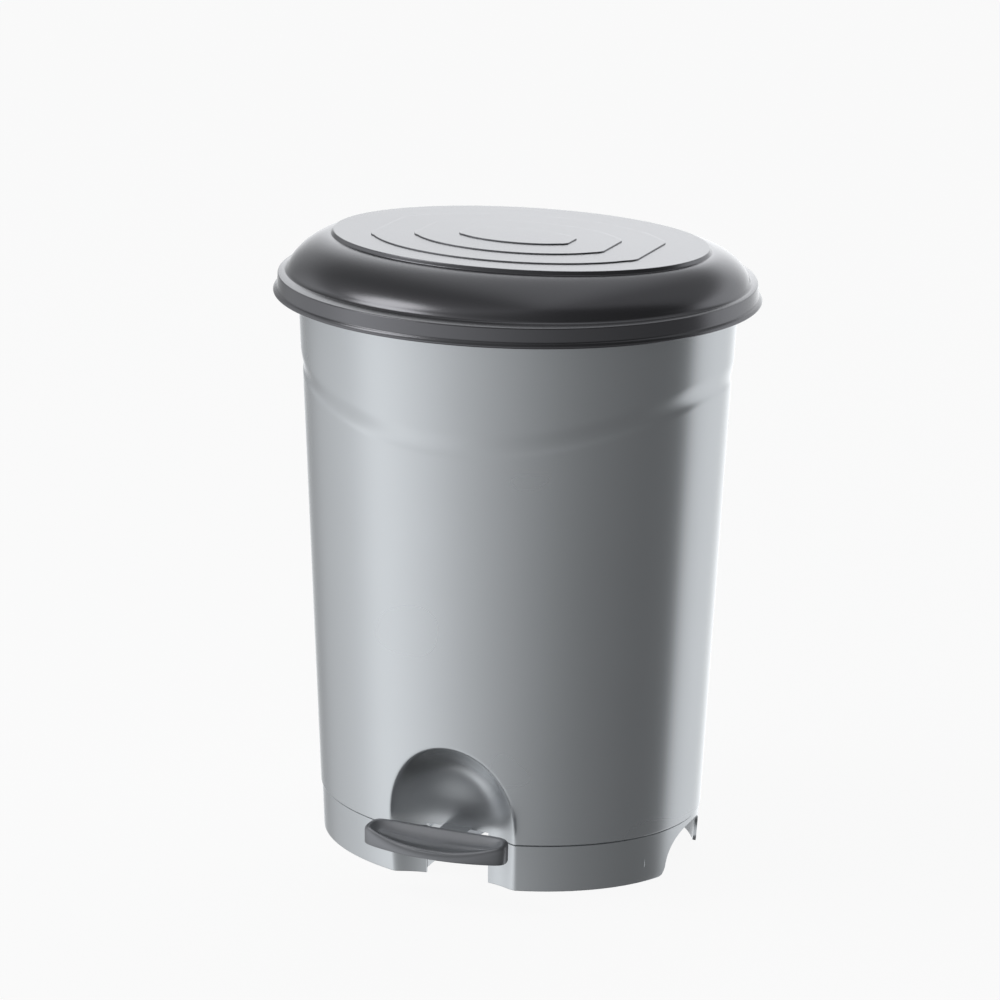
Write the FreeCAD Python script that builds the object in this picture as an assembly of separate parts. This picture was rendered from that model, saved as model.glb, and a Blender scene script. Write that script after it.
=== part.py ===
import FreeCAD, Part
import os
from math import asin, cos, degrees, hypot, pi, radians, sin

# Oval pedal trash can: tapered body on a skirted base, stepped lid hinged at the back, pedal at the
# front and an inner bucket. The lid is worked by a lever under the floor and a push rod up the back.
# Millimetres. Origin on the floor at the centre, +Z up, the pedal at -Y, the hinge at +Y.
# A pair such as (165, 131) is an ellipse's half-width along X and half-depth along Y.

V = FreeCAD.Vector
ALONG_X = V(1, 0, 0)
ALONG_Y = V(0, 1, 0)
FIT = 0.05                      # radial clearance of pins and axles in their holes
SCREW_FIT = 0.1
SEAM_ANGLE = 0.9                # radians, towards the back right

# Base
BASE_HEIGHT = 40.0
BASE_FOOT = (165.0, 131.0)
BASE_TOP = (166.4, 134.2)
BASE_WALL = 2.5
SPIGOT = (164.6, 132.6)         # ring that the body slides down over
SPIGOT_BOTTOM = 37.5
SPIGOT_TOP = 55.3
SPIGOT_GAP = 2.8                # the spigot's niche wall lies this far behind the niche
CHANNEL_HALF = 28.0             # the pedal lever swings between two long ribs
RIB = 2.5
RIB_BOTTOM = 4.0
RIB_TOP = 38.0
LONG_RIB_Y = (-112.0, 129.0)
CROSS_RIB_END = 147.0
CROSS_RIB_Y = (-60.0, 60.0)
CROSS_RIB_BOTTOM = 14.0
ARCH_RADIUS = 38.0              # grip arch on each side of the base
ARCH_CENTRE_Z = -1.0
BOSS_PLACES = [(x, y) for x in (-85.0, 85.0) for y in CROSS_RIB_Y]
BOSS_Z = 36.0                   # where the base's bosses meet the body's

# Body
SEAM_TOP = 42.3
MOUTH_Z = 488.5
BODY_FOOT = (167.5, 135.5)
BODY_MOUTH = (185.8, 156.2)
BODY_WALL = 2.5
FLOOR_BOTTOM = 55.5
FLOOR_TOP = 58.0
COLLAR_STEP = 1.0               # the upper wall stands this much proud
COLLAR_LOW = 380.5              # lowest point of the collar's curved edge, at the front and back
COLLAR_RADIUS = 455.0
FLANGE = (196.5, 168.0)         # rim flange that the lid rests on
FLANGE_SHIFT = -6.0
FLANGE_THICK = 2.5

# Toe niche: an upright elliptical column with a domed top, cut into the front
NICHE_RADII = (76.0, 55.5, 77.0)
NICHE_Y = -165.0
NICHE_DOME_Z = 53.5
SLOT_TOP = 48.0                 # the lever's slot through the niche wall

# Lid
LID_BOTTOM = 478.4
LIP_HEIGHT = 4.0
LIP_BOTTOM = (205.0, 190.8)
LIP_TOP = (203.6, 189.4)
SKIRT_FOOT = (202.4, 188.4)
SKIRT_TOP_Z = 494.2
SKIRT_TOP = (200.8, 186.9)
LEDGE_TOP_Z = 495.4
DOME_FOOT = (195.0, 170.4)
DOME_CREST = (158.0, 118.5)
DOME_CREST_Z = 521.5
DOME_BANDS = 6
PANEL_Z = 524.6
PANEL = (156.5, 117.0)
STEP_HEIGHT = 0.9
STEPS = [(127.0, 88.0, 118.0), (90.0, 58.0, 84.0), (52.0, 26.0, 48.5)]   # the last value cuts the ends
LID_WALL = 2.5
DOME_WALL = 2.0

# Linkage, as (y, z) in the plane x = 0
LID_SWING = 78.0                # degrees
HINGE = (166.5, 486.0)
LEVER_REACH = (-17.28, -14.0)   # from the hinge to the rod's upper pin, lid closed
PEDAL_PIVOT = (-25.0, 31.0)
LOWER_PIN = (116.0, 17.0)
PIN_RADIUS = 2.5
AXLE_RADIUS = 3.0
ROD_RADIUS = 2.5
ROD_HALF_THICK = 3.0
EYE_WALL = 3.5
EYE_PLAY = 0.15
SCREW_HEAD = 3.6
CHEEK_IN = 10.0                 # pedal lever's side plates
CHEEK_OUT = 12.5
ARM_IN = 3.5                    # lid arm's side plates
ARM_OUT = 6.0
EAR_IN = 9.8                    # hinge bracket's ears
EAR_OUT = 12.8
NOTCH_HALF = 9.0                # notch in the body's rear wall for the lid arm
NOTCH_BOTTOM = 452.0
BRACKET_REAR_Y = 159.5
SCREW_RADIUS = 2.0
BRACKET_SCREWS = [(x, z) for x in (-21.0, 21.0) for z in (454.0, 476.0)]
ARM_SCREWS = [(-21.0, 178.0), (21.0, 178.0)]

# Pedal pad
PAD_REAR_Y = -149.0
PAD_FRONT_Y = -181.0
PAD_END_Y = -168.0              # where the front arc meets the pad's two ends
PAD_HALF = 64.0
PAD_TAPER = 4.0                 # the rear corners lie this much further in
PAD_BOTTOM = 40.0
PAD_REAR_Z = 57.5
PAD_FRONT_Z = 45.0
PAD_RIM = 4.0
PAD_DISH = 2.5
LEVER_FRONT_Y = -165.0
LEVER_TOP = 46.0
PAD_SCREWS = [(-6.0, -157.0), (6.0, -157.0)]
WEB = 2.5

# Inner bucket and its bail
BUCKET_BOTTOM_Z = 58.4
BUCKET_TOP_Z = 477.0
BUCKET_FOOT = (140.0, 104.5)
BUCKET_MOUTH = (171.0, 141.0)
BUCKET_WALL = 2.0
BUCKET_BACK_Y = 131.0           # flat back, clear of the rod
BUCKET_RIM = 4.0
BAIL_Z = 481.0
BAIL_HALF = 166.0
BAIL_FRONT_Y = -136.0
BAIL_RADIUS = 2.0
LUG = (171.0, 174.5)


def ellipse(z, half, grow=0.0, shift=0.0):
    """A closed elliptical wire at height z. Its ends meet away from every opening."""
    curve = Part.Ellipse(V(0, shift, z), half[0] + grow, half[1] + grow)
    return Part.Wire([curve.toShape(SEAM_ANGLE, SEAM_ANGLE + 2 * pi)])


def loft(*sections):
    """A solid through (z, half sizes) sections, straight between them."""
    return Part.makeLoft([ellipse(*section) for section in sections], True, True)


def block(x, y, z):
    """A box from three (low, high) pairs."""
    return Part.makeBox(x[1] - x[0], y[1] - y[0], z[1] - z[0], V(x[0], y[0], z[0]))


def post(radius, place, z):
    """An upright cylinder at (x, y) between two heights."""
    return Part.makeCylinder(radius, z[1] - z[0], V(place[0], place[1], z[0]))


def cross_bar(radius, place, x):
    """A cylinder along X at (y, z)."""
    return Part.makeCylinder(radius, x[1] - x[0], V(x[0], place[0], place[1]), ALONG_X)


def plate(outline, x):
    """A (y, z) polygon, thickened along X."""
    points = [V(x[0], y, z) for y, z in outline]
    face = Part.Face(Part.makePolygon(points + points[:1]))
    return face.extrude(V(x[1] - x[0], 0, 0))


def both_sides(shape):
    """The shape and its mirror image across x = 0."""
    return [shape, shape.mirror(V(0, 0, 0), ALONG_X)]


def join(shapes):
    """One clean solid from overlapping or touching shapes."""
    shapes = list(shapes)
    return shapes[0].multiFuse(shapes[1:]).removeSplitter()


def between(z, low, high):
    """Half sizes on the straight line between two (z, half sizes) sections."""
    share = (z - low[0]) / (high[0] - low[0])
    return tuple(a + share * (b - a) for a, b in zip(low[1], high[1]))


def body_size(z):
    return between(z, (SEAM_TOP, BODY_FOOT), (MOUTH_Z, BODY_MOUTH))


def body_solid(z_low, z_high, grow=0.0):
    """The body's outer form between two heights, without the niche."""
    return loft((z_low, body_size(z_low), grow), (z_high, body_size(z_high), grow))


def niche(grow=0.0):
    """The toe niche as a solid, grown outwards by a wall thickness."""
    radii = [radius + grow for radius in NICHE_RADII]
    height = (NICHE_DOME_Z + 10.0) / radii[2]
    column = Part.makeCylinder(1.0, height, V(0, 0, -height))
    dome = Part.makeSphere(1.0, V(0, 0, 0), V(0, 0, 1), 0, 90, 360)
    stretch = FreeCAD.Matrix()
    stretch.scale(*radii)
    shape = column.fuse(dome).removeSplitter().transformGeometry(stretch)
    shape.translate(V(0, NICHE_Y, NICHE_DOME_Z))
    return shape


def hollow(outer, inner, wall, gap=0.0):
    """A shell whose wall follows the niche. gap keeps it behind the wall in front of it."""
    return outer.cut(niche(gap)).cut(inner.cut(niche(gap + wall)))


def base_ring():
    """The base's outer skirt and the spigot inside it, with the grip arches and the lever slot."""
    outer = loft((0, BASE_FOOT), (BASE_HEIGHT, BASE_TOP))
    inner = loft((-1, BASE_FOOT, -BASE_WALL), (BASE_HEIGHT + 1, BASE_TOP, -BASE_WALL))
    skirt = hollow(outer, inner, BASE_WALL).cut(cross_bar(ARCH_RADIUS, (0, ARCH_CENTRE_Z), (-200, 200)))
    spigot = loft((SPIGOT_BOTTOM, SPIGOT), (SPIGOT_TOP, SPIGOT))
    bore = loft((SPIGOT_BOTTOM - 1, SPIGOT, -BASE_WALL), (SPIGOT_TOP + 1, SPIGOT, -BASE_WALL))
    slot = block((-CHANNEL_HALF, CHANNEL_HALF), (-145, -95), (-1, SLOT_TOP))
    return join([skirt, hollow(spigot, bore, BASE_WALL, SPIGOT_GAP)]).cut(slot)


def base_frame():
    """The ribs inside the base: the lever channel, the cross ribs and the screw bosses."""
    long_rib = block((CHANNEL_HALF, CHANNEL_HALF + RIB), LONG_RIB_Y, (RIB_BOTTOM, RIB_TOP))
    cross_ribs = [block((CHANNEL_HALF, CROSS_RIB_END), (y - RIB / 2, y + RIB / 2),
                        (CROSS_RIB_BOTTOM, BOSS_Z)) for y in CROSS_RIB_Y]
    ribs = [rib for shape in [long_rib] + cross_ribs for rib in both_sides(shape)]
    bosses = [post(7.0, place, (CROSS_RIB_BOTTOM, BOSS_Z)) for place in BOSS_PLACES]
    screw_holes = [post(2.0 + SCREW_FIT, place, (0, BOSS_Z + 1)) for place in BOSS_PLACES]
    axle_hole = cross_bar(AXLE_RADIUS + FIT, PEDAL_PIVOT, (-40, 40))
    return join(ribs + bosses).cut([axle_hole] + screw_holes)


def base():
    """Skirted foot, moulded in one with the frame of ribs inside it."""
    return base_ring().fuse(base_frame())


def base_screws():
    """Four pan-head screws, from under the base into the body's bosses."""
    return [post(4.0, place, (CROSS_RIB_BOTTOM - 2.5, CROSS_RIB_BOTTOM))
            .fuse(post(2.0, place, (CROSS_RIB_BOTTOM, 50.0))) for place in BOSS_PLACES]


def body_shell():
    """Tapered oval body with a floor, rim flange, collar step, niche, and notches for the linkage."""
    wall = body_solid(SEAM_TOP, MOUTH_Z)
    collar_edge = Part.makeCylinder(COLLAR_RADIUS, 400, V(0, -200, COLLAR_LOW + COLLAR_RADIUS), ALONG_Y)
    collar = body_solid(COLLAR_LOW - 5, MOUTH_Z, COLLAR_STEP).common(collar_edge)
    inside = body_solid(FLOOR_TOP, MOUTH_Z + 1, -BODY_WALL)
    below = body_solid(SEAM_TOP - 1, FLOOR_BOTTOM, -BODY_WALL)
    shell = hollow(join([wall, collar]), inside, BODY_WALL).cut(below.cut(niche(BODY_WALL)))
    flange_z = (MOUTH_Z - FLANGE_THICK, MOUTH_Z)
    flange = loft(*[(z, FLANGE, 0.0, FLANGE_SHIFT) for z in flange_z]).cut(body_solid(*flange_z, -1.0))
    hinge_room = block((-32, 32), (140, 200), (flange_z[0] - 1, flange_z[1] + 1))
    flange = flange.cut(hinge_room.cut(body_solid(flange_z[0] - 1, flange_z[1] + 1)))
    bosses = [post(5.0, place, (BOSS_Z, FLOOR_BOTTOM + 1)) for place in BOSS_PLACES]
    screw_holes = [post(2.0 + FIT, place, (BOSS_Z - 1, 51.0)) for place in BOSS_PLACES]
    lever_slot = block((-CHANNEL_HALF, CHANNEL_HALF), (-145, -95), (SEAM_TOP - 1, SLOT_TOP))
    arm_notch = block((-NOTCH_HALF, NOTCH_HALF), (140, 200), (NOTCH_BOTTOM, MOUTH_Z + 1))
    rod_slot = block((-6, 6), (112, 126), (FLOOR_BOTTOM - 1, FLOOR_TOP + 1))
    screw_holes += bracket_screw_holes(SCREW_FIT)
    return join([shell, flange] + bosses).cut([lever_slot, arm_notch, rod_slot] + screw_holes)


def rod_direction():
    """Unit vector up the rod, and the rod's upper pin centre, lid closed."""
    upper = (HINGE[0] + LEVER_REACH[0], HINGE[1] + LEVER_REACH[1])
    run = (upper[0] - LOWER_PIN[0], upper[1] - LOWER_PIN[1])
    length = hypot(*run)
    return (run[0] / length, run[1] / length), upper


def travel():
    """Pedal swing in degrees and rod travel in millimetres for the whole lid swing."""
    rise = 2 * -LEVER_REACH[1]
    arm = (LOWER_PIN[0] - PEDAL_PIVOT[0], LOWER_PIN[1] - PEDAL_PIVOT[1])
    swing = degrees(2 * asin(rise / 2 / hypot(*arm)))
    return swing, rise / rod_direction()[0][1]


def turned(reach, angle):
    """A (y, z) vector turned by degrees, from +Y towards +Z."""
    c, s = cos(radians(angle)), sin(radians(angle))
    return reach[0] * c - reach[1] * s, reach[0] * s + reach[1] * c


def eye_drift(pivot, reach, swing):
    """How far a pin strays from its place in the rod over the travel: y range, z range."""
    direction = rod_direction()[0]
    rod_travel = travel()[1]
    drifts = []
    for step in range(41):
        share = step / 40
        moved = turned(reach, swing * share)
        drifts.append((moved[0] - reach[0] - direction[0] * rod_travel * share,
                       moved[1] - reach[1] - direction[1] * rod_travel * share))
    ys = [drift[0] for drift in drifts]
    zs = [drift[1] for drift in drifts]
    return (min(ys), max(ys)), (min(zs), max(zs))


def rod_eye(centre, drift):
    """One flattened rod end with the slot that its pin needs."""
    play = PIN_RADIUS + EYE_PLAY
    y = (centre[0] + drift[0][0] - play, centre[0] + drift[0][1] + play)
    z = (centre[1] + drift[1][0] - play, centre[1] + drift[1][1] + play)
    x = (-ROD_HALF_THICK, ROD_HALF_THICK)
    eye = block(x, (y[0] - EYE_WALL, y[1] + EYE_WALL), (z[0] - EYE_WALL, z[1] + EYE_WALL))
    corners = [edge for edge in eye.Edges if abs(edge.tangentAt(edge.FirstParameter).x) > 0.9]
    return eye.makeFillet(EYE_WALL, corners), block((-10, 10), y, z)


def push_rod():
    """Steel rod with a slotted eye at each end."""
    (dy, dz), upper = rod_direction()
    swing = travel()[0]
    lower_reach = (LOWER_PIN[0] - PEDAL_PIVOT[0], LOWER_PIN[1] - PEDAL_PIVOT[1])
    lower_eye, lower_slot = rod_eye(LOWER_PIN, eye_drift(PEDAL_PIVOT, lower_reach, swing))
    upper_eye, upper_slot = rod_eye(upper, eye_drift(HINGE, LEVER_REACH, -LID_SWING))
    length = hypot(upper[0] - LOWER_PIN[0], upper[1] - LOWER_PIN[1])
    bar = Part.makeCylinder(ROD_RADIUS, length, V(0, LOWER_PIN[0], LOWER_PIN[1]), V(0, dy, dz))
    return join([bar, lower_eye, upper_eye]).cut([lower_slot, upper_slot])


def rod_y(z):
    """The rod's Y at height z."""
    (dy, dz), upper = rod_direction()
    return upper[0] + (z - upper[1]) * dy / dz


def rod_guides():
    """Two guide blocks inside the rear wall, bored along the rod."""
    (dy, dz), upper = rod_direction()
    bore = Part.makeCylinder(ROD_RADIUS + FIT, 500, V(0, rod_y(0), 0), V(0, dy, dz))
    room = body_solid(FLOOR_TOP, MOUTH_Z, -BODY_WALL)
    guides = []
    for z in (150.0, 330.0):
        guide = block((-9, 9), (rod_y(z) - 6.0, 160), (z - 6, z + 6)).common(room)
        guides.append(guide.cut(bore))
    return guides


def pedal_axle():
    """Steel axle across the lever channel, with a head at one end."""
    end = CHANNEL_HALF + RIB
    return cross_bar(AXLE_RADIUS, PEDAL_PIVOT, (-end - 3.0, end + 3.0))


def axle_clips():
    """Push-on retaining rings outside the channel ribs."""
    inner = CHANNEL_HALF + RIB + 0.2
    ring = cross_bar(6.0, PEDAL_PIVOT, (inner, inner + 1.6)).cut(
        cross_bar(AXLE_RADIUS, PEDAL_PIVOT, (inner - 1, inner + 3)))
    return both_sides(ring)


def lever_bushes():
    """Plastic bushes in the lever's side plates, running on the axle."""
    tube = cross_bar(4.5, PEDAL_PIVOT, (CHEEK_IN - 1.5, CHANNEL_HALF - 0.3)).cut(
        cross_bar(AXLE_RADIUS + FIT, PEDAL_PIVOT, (0, 40)))
    return both_sides(tube)


def pedal_lever():
    """Pressed-steel lever: two side plates, joined by a web that carries the pad."""
    outline = [(LEVER_FRONT_Y, LEVER_TOP), (-112, LEVER_TOP), (-25, 40), (121, 24),
               (121, 11), (-25, 22), (-106, 35), (-125, 40.3), (LEVER_FRONT_Y, 40.3)]
    cheek = plate(outline, (CHEEK_IN, CHEEK_OUT))
    web = block((-CHEEK_OUT, CHEEK_OUT), (LEVER_FRONT_Y, -112), (LEVER_TOP - WEB, LEVER_TOP))
    brace = block((-CHEEK_OUT, CHEEK_OUT), (30, 60), (20, 20 + WEB))
    shape = join(both_sides(cheek) + [web, brace])
    holes = [cross_bar(4.5, PEDAL_PIVOT, (-20, 20)), cross_bar(PIN_RADIUS, LOWER_PIN, (-20, 20))]
    holes += [post(1.7 + SCREW_FIT, place, (0, 60)) for place in PAD_SCREWS]
    return shape.cut(holes)


def pad_top(y):
    """Height of the pad's sloping top at depth y."""
    share = (y - PAD_REAR_Y) / (PAD_FRONT_Y - PAD_REAR_Y)
    return PAD_REAR_Z + share * (PAD_FRONT_Z - PAD_REAR_Z)


def pad_outline(inset=0.0):
    """The pad's plan: a straight rear edge, short ends and one long front arc."""
    rear = PAD_REAR_Y - inset
    front = PAD_FRONT_Y + inset
    half = PAD_HALF - inset
    corners = [V(PAD_TAPER - half, rear, 0), V(half - PAD_TAPER, rear, 0), V(half, PAD_END_Y, 0)]
    edges = [Part.LineSegment(corners[0], corners[1]).toShape(),
             Part.LineSegment(corners[1], corners[2]).toShape(),
             Part.Arc(corners[2], V(0, front, 0), V(-half, PAD_END_Y, 0)).toShape(),
             Part.LineSegment(V(-half, PAD_END_Y, 0), corners[0]).toShape()]
    return Part.Face(Part.Wire(edges))


def pad_wedge(inset, drop, z_low):
    """The pad's outline raised from z_low up to the sloping top, less drop."""
    prism = pad_outline(inset).extrude(V(0, 0, 80))
    reach = (PAD_REAR_Y + 10, PAD_FRONT_Y - 10)
    section = [(reach[0], z_low), (reach[0], pad_top(reach[0]) - drop),
               (reach[1], pad_top(reach[1]) - drop), (reach[1], z_low)]
    return prism.common(plate(section, (-80, 80)))


def pedal_pad():
    """Moulded pad with a raised rim round a dished tread, pocketed underneath for the lever."""
    body = pad_wedge(0.0, 0.0, PAD_BOTTOM)
    recess = pad_wedge(PAD_RIM, 0.0, 0.0).cut(pad_wedge(PAD_RIM, PAD_DISH, 0.0))
    pocket = block((-CHEEK_OUT - 0.1, CHEEK_OUT + 0.1), (LEVER_FRONT_Y - 0.1, PAD_REAR_Y + 1),
                   (PAD_BOTTOM - 1, LEVER_TOP + 0.05))
    holes = [post(1.7 + FIT, place, (LEVER_TOP - 1, 50.3)) for place in PAD_SCREWS]
    return body.cut([recess, pocket] + holes)


def pad_screws():
    """Two screws that hold the pad on the lever's web."""
    under = LEVER_TOP - WEB
    return [post(3.2, place, (under - 2.2, under)).fuse(post(1.7, place, (under, 50.0)))
            for place in PAD_SCREWS]


def rod_lower_pin():
    """Pin through the lever's rear end and the rod's lower eye, headed at both ends."""
    heads = cross_bar(4.0, LOWER_PIN, (CHEEK_OUT, CHEEK_OUT + 1.5))
    return join([cross_bar(PIN_RADIUS, LOWER_PIN, (-CHEEK_OUT - 0.5, CHEEK_OUT + 0.5))] + both_sides(heads))


def hinge_bracket():
    """Bracket on the outside of the rear wall, with two ears for the hinge pin."""
    pad = block((-28, 28), (140, BRACKET_REAR_Y), (446, 484))
    ear = plate([(150, 462), (160, 462), (171.5, 483), (171.5, 488), (166.5, 491.2), (150, 491.2)],
                (EAR_IN, EAR_OUT))
    wall = body_solid(440, MOUTH_Z + 5, COLLAR_STEP)
    arm_room = block((-EAR_IN, EAR_IN), (140, 200), (NOTCH_BOTTOM, 500))
    shape = join([pad.cut(arm_room)] + both_sides(ear)).cut(wall)
    return shape.cut([cross_bar(PIN_RADIUS, HINGE, (-20, 20))] + bracket_screw_holes(SCREW_FIT))


def bracket_screw_holes(grow):
    return [Part.makeCylinder(SCREW_RADIUS + grow, 30, V(x, 140, z), ALONG_Y) for x, z in BRACKET_SCREWS]


def bracket_screws():
    """Four screws through the bracket into the body's rear wall."""
    screws = []
    for x, z in BRACKET_SCREWS:
        head = Part.makeCylinder(SCREW_HEAD, 2.2, V(x, BRACKET_REAR_Y, z), ALONG_Y)
        shank = Part.makeCylinder(SCREW_RADIUS, 12.0, V(x, BRACKET_REAR_Y - 12.0, z), ALONG_Y)
        screws.append(head.fuse(shank))
    return screws


def hinge_pin():
    """Steel pin through the bracket's ears, headed at both ends."""
    head = cross_bar(4.0, HINGE, (EAR_OUT, EAR_OUT + 1.5))
    return join([cross_bar(PIN_RADIUS, HINGE, (-EAR_OUT - 0.5, EAR_OUT + 0.5))] + both_sides(head))


def dome_sections(inset=0.0):
    """(z, half sizes) from the lid's dome foot up to its crest: a quarter-ellipse in section."""
    sections = []
    for band in range(DOME_BANDS + 1):
        angle = radians(90.0 * band / DOME_BANDS)
        size = [foot - (foot - crest) * (1 - cos(angle)) for foot, crest in zip(DOME_FOOT, DOME_CREST)]
        z = LEDGE_TOP_Z + (DOME_CREST_Z - LEDGE_TOP_Z) * sin(angle)
        sections.append((z - inset, size, -inset))
    return sections


def lid_step(level):
    """One raised step of the lid's top: an ellipse with its two ends cut straight."""
    half_x, half_y, cut_x = STEPS[level]
    top = PANEL_Z + STEP_HEIGHT * (level + 1)
    disc = loft((PANEL_Z - 1, (half_x, half_y)), (top, (half_x, half_y)))
    return disc.common(block((-cut_x, cut_x), (-half_y, half_y), (PANEL_Z - 1, top)))


def lid_form():
    """The lid's outer form: lip, skirt, ledge, dome and panel."""
    lip_top = LID_BOTTOM + LIP_HEIGHT
    above_lip = lip_top + 0.2
    skirt_size = between(above_lip, (LID_BOTTOM, SKIRT_FOOT), (SKIRT_TOP_Z, SKIRT_TOP))
    return loft((LID_BOTTOM, LIP_BOTTOM), (lip_top, LIP_TOP), (above_lip, skirt_size),
                (SKIRT_TOP_Z, SKIRT_TOP), *dome_sections(), (PANEL_Z, PANEL))


def lid_inside():
    """The hollow under the lid."""
    ledge = SKIRT_TOP_Z - LID_WALL
    return loft((LID_BOTTOM - 1, SKIRT_FOOT, -LID_WALL), (ledge, SKIRT_TOP, -LID_WALL),
                (ledge + 0.2, DOME_FOOT, -LID_WALL), *dome_sections(DOME_WALL)[1:],
                (PANEL_Z - LID_WALL, PANEL, -LID_WALL))


def lid_shell():
    """Lid with three steps on its top, hollow underneath."""
    steps = [lid_step(level) for level in range(len(STEPS))]
    holes = [post(1.7 + FIT, place, (480, 493.5)) for place in ARM_SCREWS]
    return join([lid_form().cut(lid_inside())] + steps).cut(holes)


def lid_arm():
    """Arm under the lid's rear ledge: it turns on the hinge pin and carries the rod's upper pin."""
    underside = SKIRT_TOP_Z - LID_WALL
    upper = rod_direction()[1]
    outline = [(160, underside), (181, underside), (181, underside - 2.5), (173.5, underside - 2.5),
               (171, 480), (152, 467), (145.5, 468), (144.5, 475)]
    cheek = plate(outline, (ARM_IN, ARM_OUT))
    flange = block((-30, 30), (174.5, 181), (underside - 2.5, underside))
    shape = join(both_sides(cheek) + [flange])
    holes = [cross_bar(PIN_RADIUS + FIT, HINGE, (-20, 20)), cross_bar(PIN_RADIUS, upper, (-20, 20))]
    return shape.cut(holes + [post(1.7 + SCREW_FIT, place, (480, 500)) for place in ARM_SCREWS])


def arm_screws():
    """Two screws that hold the arm's flange to the lid."""
    seat = SKIRT_TOP_Z - LID_WALL - 2.5
    return [post(3.0, place, (seat - 2.0, seat)).fuse(post(1.7, place, (seat, 493.3)))
            for place in ARM_SCREWS]


def rod_upper_pin():
    """Pin across the lid arm, through the rod's upper eye."""
    return cross_bar(PIN_RADIUS, rod_direction()[1], (-ARM_OUT, ARM_OUT))


def lid_buffers():
    """Four rubber pads under the lid's ledge, just over the body's rim flange."""
    places = [(side * x, y) for x, y in ((40.0, -167.4), (120.0, -135.2)) for side in (-1, 1)]
    return [post(2.5, place, (MOUTH_Z + 0.1, SKIRT_TOP_Z - LID_WALL)) for place in places]


def bucket_size(z):
    return between(z, (BUCKET_BOTTOM_Z, BUCKET_FOOT), (BUCKET_TOP_Z, BUCKET_MOUTH))


def inner_bucket():
    """Lift-out bucket with a flat back and a turned-out rim."""
    reach = block((-200, 200), (-200, BUCKET_BACK_Y), (0, 600))
    outer = loft((BUCKET_BOTTOM_Z, BUCKET_FOOT), (BUCKET_TOP_Z, BUCKET_MOUTH))
    floor = BUCKET_BOTTOM_Z + BUCKET_WALL
    inner = loft((floor, bucket_size(floor), -BUCKET_WALL), (BUCKET_TOP_Z + 1, BUCKET_MOUTH, -BUCKET_WALL))
    inner = inner.common(block((-200, 200), (-200, BUCKET_BACK_Y - BUCKET_WALL), (0, 600)))
    rim = loft(*[(z, BUCKET_MOUTH, BUCKET_RIM) for z in (BUCKET_TOP_Z - 2, BUCKET_TOP_Z)])
    return join([outer.common(reach), rim.common(reach)]).cut(inner)


def bail_lugs():
    """Two lugs on the bucket's rim that the bail turns in."""
    lug = block(LUG, (-5, 5), (BUCKET_TOP_Z, BAIL_Z + 5))
    return both_sides(lug.cut(cross_bar(BAIL_RADIUS + FIT, (0, BAIL_Z), (160, 180))))


def bail_arc():
    """The bail's path: one arc from side to side round the front of the rim."""
    return Part.Arc(V(-BAIL_HALF, 0, BAIL_Z), V(0, BAIL_FRONT_Y, BAIL_Z), V(BAIL_HALF, 0, BAIL_Z))


def bail():
    """Wire bail that lies on the rim, with its ends turned out into the lugs."""
    path = Part.Wire([bail_arc().toShape()])
    start = path.Edges[0].valueAt(path.Edges[0].FirstParameter)
    ahead = path.Edges[0].tangentAt(path.Edges[0].FirstParameter)
    section = Part.Wire([Part.makeCircle(BAIL_RADIUS, start, ahead)])
    hoop = path.makePipeShell([section], True, True)
    end = cross_bar(BAIL_RADIUS, (0, BAIL_Z), (BAIL_HALF, LUG[1] + 0.5))
    knuckle = Part.makeSphere(BAIL_RADIUS, V(BAIL_HALF, 0, BAIL_Z))
    return join([hoop] + both_sides(end) + both_sides(knuckle))


def bail_grip():
    """Plastic sleeve round the middle of the bail."""
    arc = bail_arc().toShape()
    radius = arc.Curve.Radius
    centre = V(0, BAIL_FRONT_Y + radius, BAIL_Z)
    half = 16.0
    side = [V(x, centre.y - (radius ** 2 - x ** 2) ** 0.5, BAIL_Z) for x in (-half, half)]
    path = Part.Wire([Part.Arc(side[0], V(0, BAIL_FRONT_Y, BAIL_Z), side[1]).toShape()])
    ahead = path.Edges[0].tangentAt(path.Edges[0].FirstParameter)
    sleeves = [path.makePipeShell([Part.Wire([Part.makeCircle(size, side[0], ahead)])], True, True)
               for size in (4.5, BAIL_RADIUS)]
    return sleeves[0].cut(sleeves[1])


NODES = {
    "base": base, "base_screws": base_screws, "body_shell": body_shell,
    "pedal_axle": pedal_axle, "axle_clips": axle_clips, "rod_guides": rod_guides,
    "hinge_bracket": hinge_bracket, "bracket_screws": bracket_screws, "hinge_pin": hinge_pin,
    "pedal_pad": pedal_pad, "pedal_lever": pedal_lever, "pad_screws": pad_screws,
    "lever_bushes": lever_bushes, "rod_lower_pin": rod_lower_pin, "push_rod": push_rod,
    "lid_shell": lid_shell, "lid_arm": lid_arm, "arm_screws": arm_screws,
    "rod_upper_pin": rod_upper_pin, "lid_buffers": lid_buffers,
    "inner_bucket": inner_bucket, "bail_lugs": bail_lugs, "bail": bail, "bail_grip": bail_grip,
}

os.makedirs("parts", exist_ok=True)
for name, make in NODES.items():
    made = make()
    solid = Part.makeCompound(made) if isinstance(made, list) else made
    solid.exportStep("parts/" + name + ".step")
    print(name, len(solid.Solids), "solids", round(solid.Volume), "mm3", "valid", solid.isValid())

pedal_swing, rod_travel = travel()
print("pedal swing", round(pedal_swing, 4), "deg, ratio", round(pedal_swing / LID_SWING, 6))
print("rod travel", round(rod_travel, 4), "mm, m per lid radian",
      round(rod_travel / 1000 / radians(LID_SWING), 7), "direction", rod_direction()[0])
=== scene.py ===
from math import asin, copysign, cos, pi, radians, sin, sqrt

import bmesh
import bpy
from mathutils import Matrix, Vector


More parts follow.
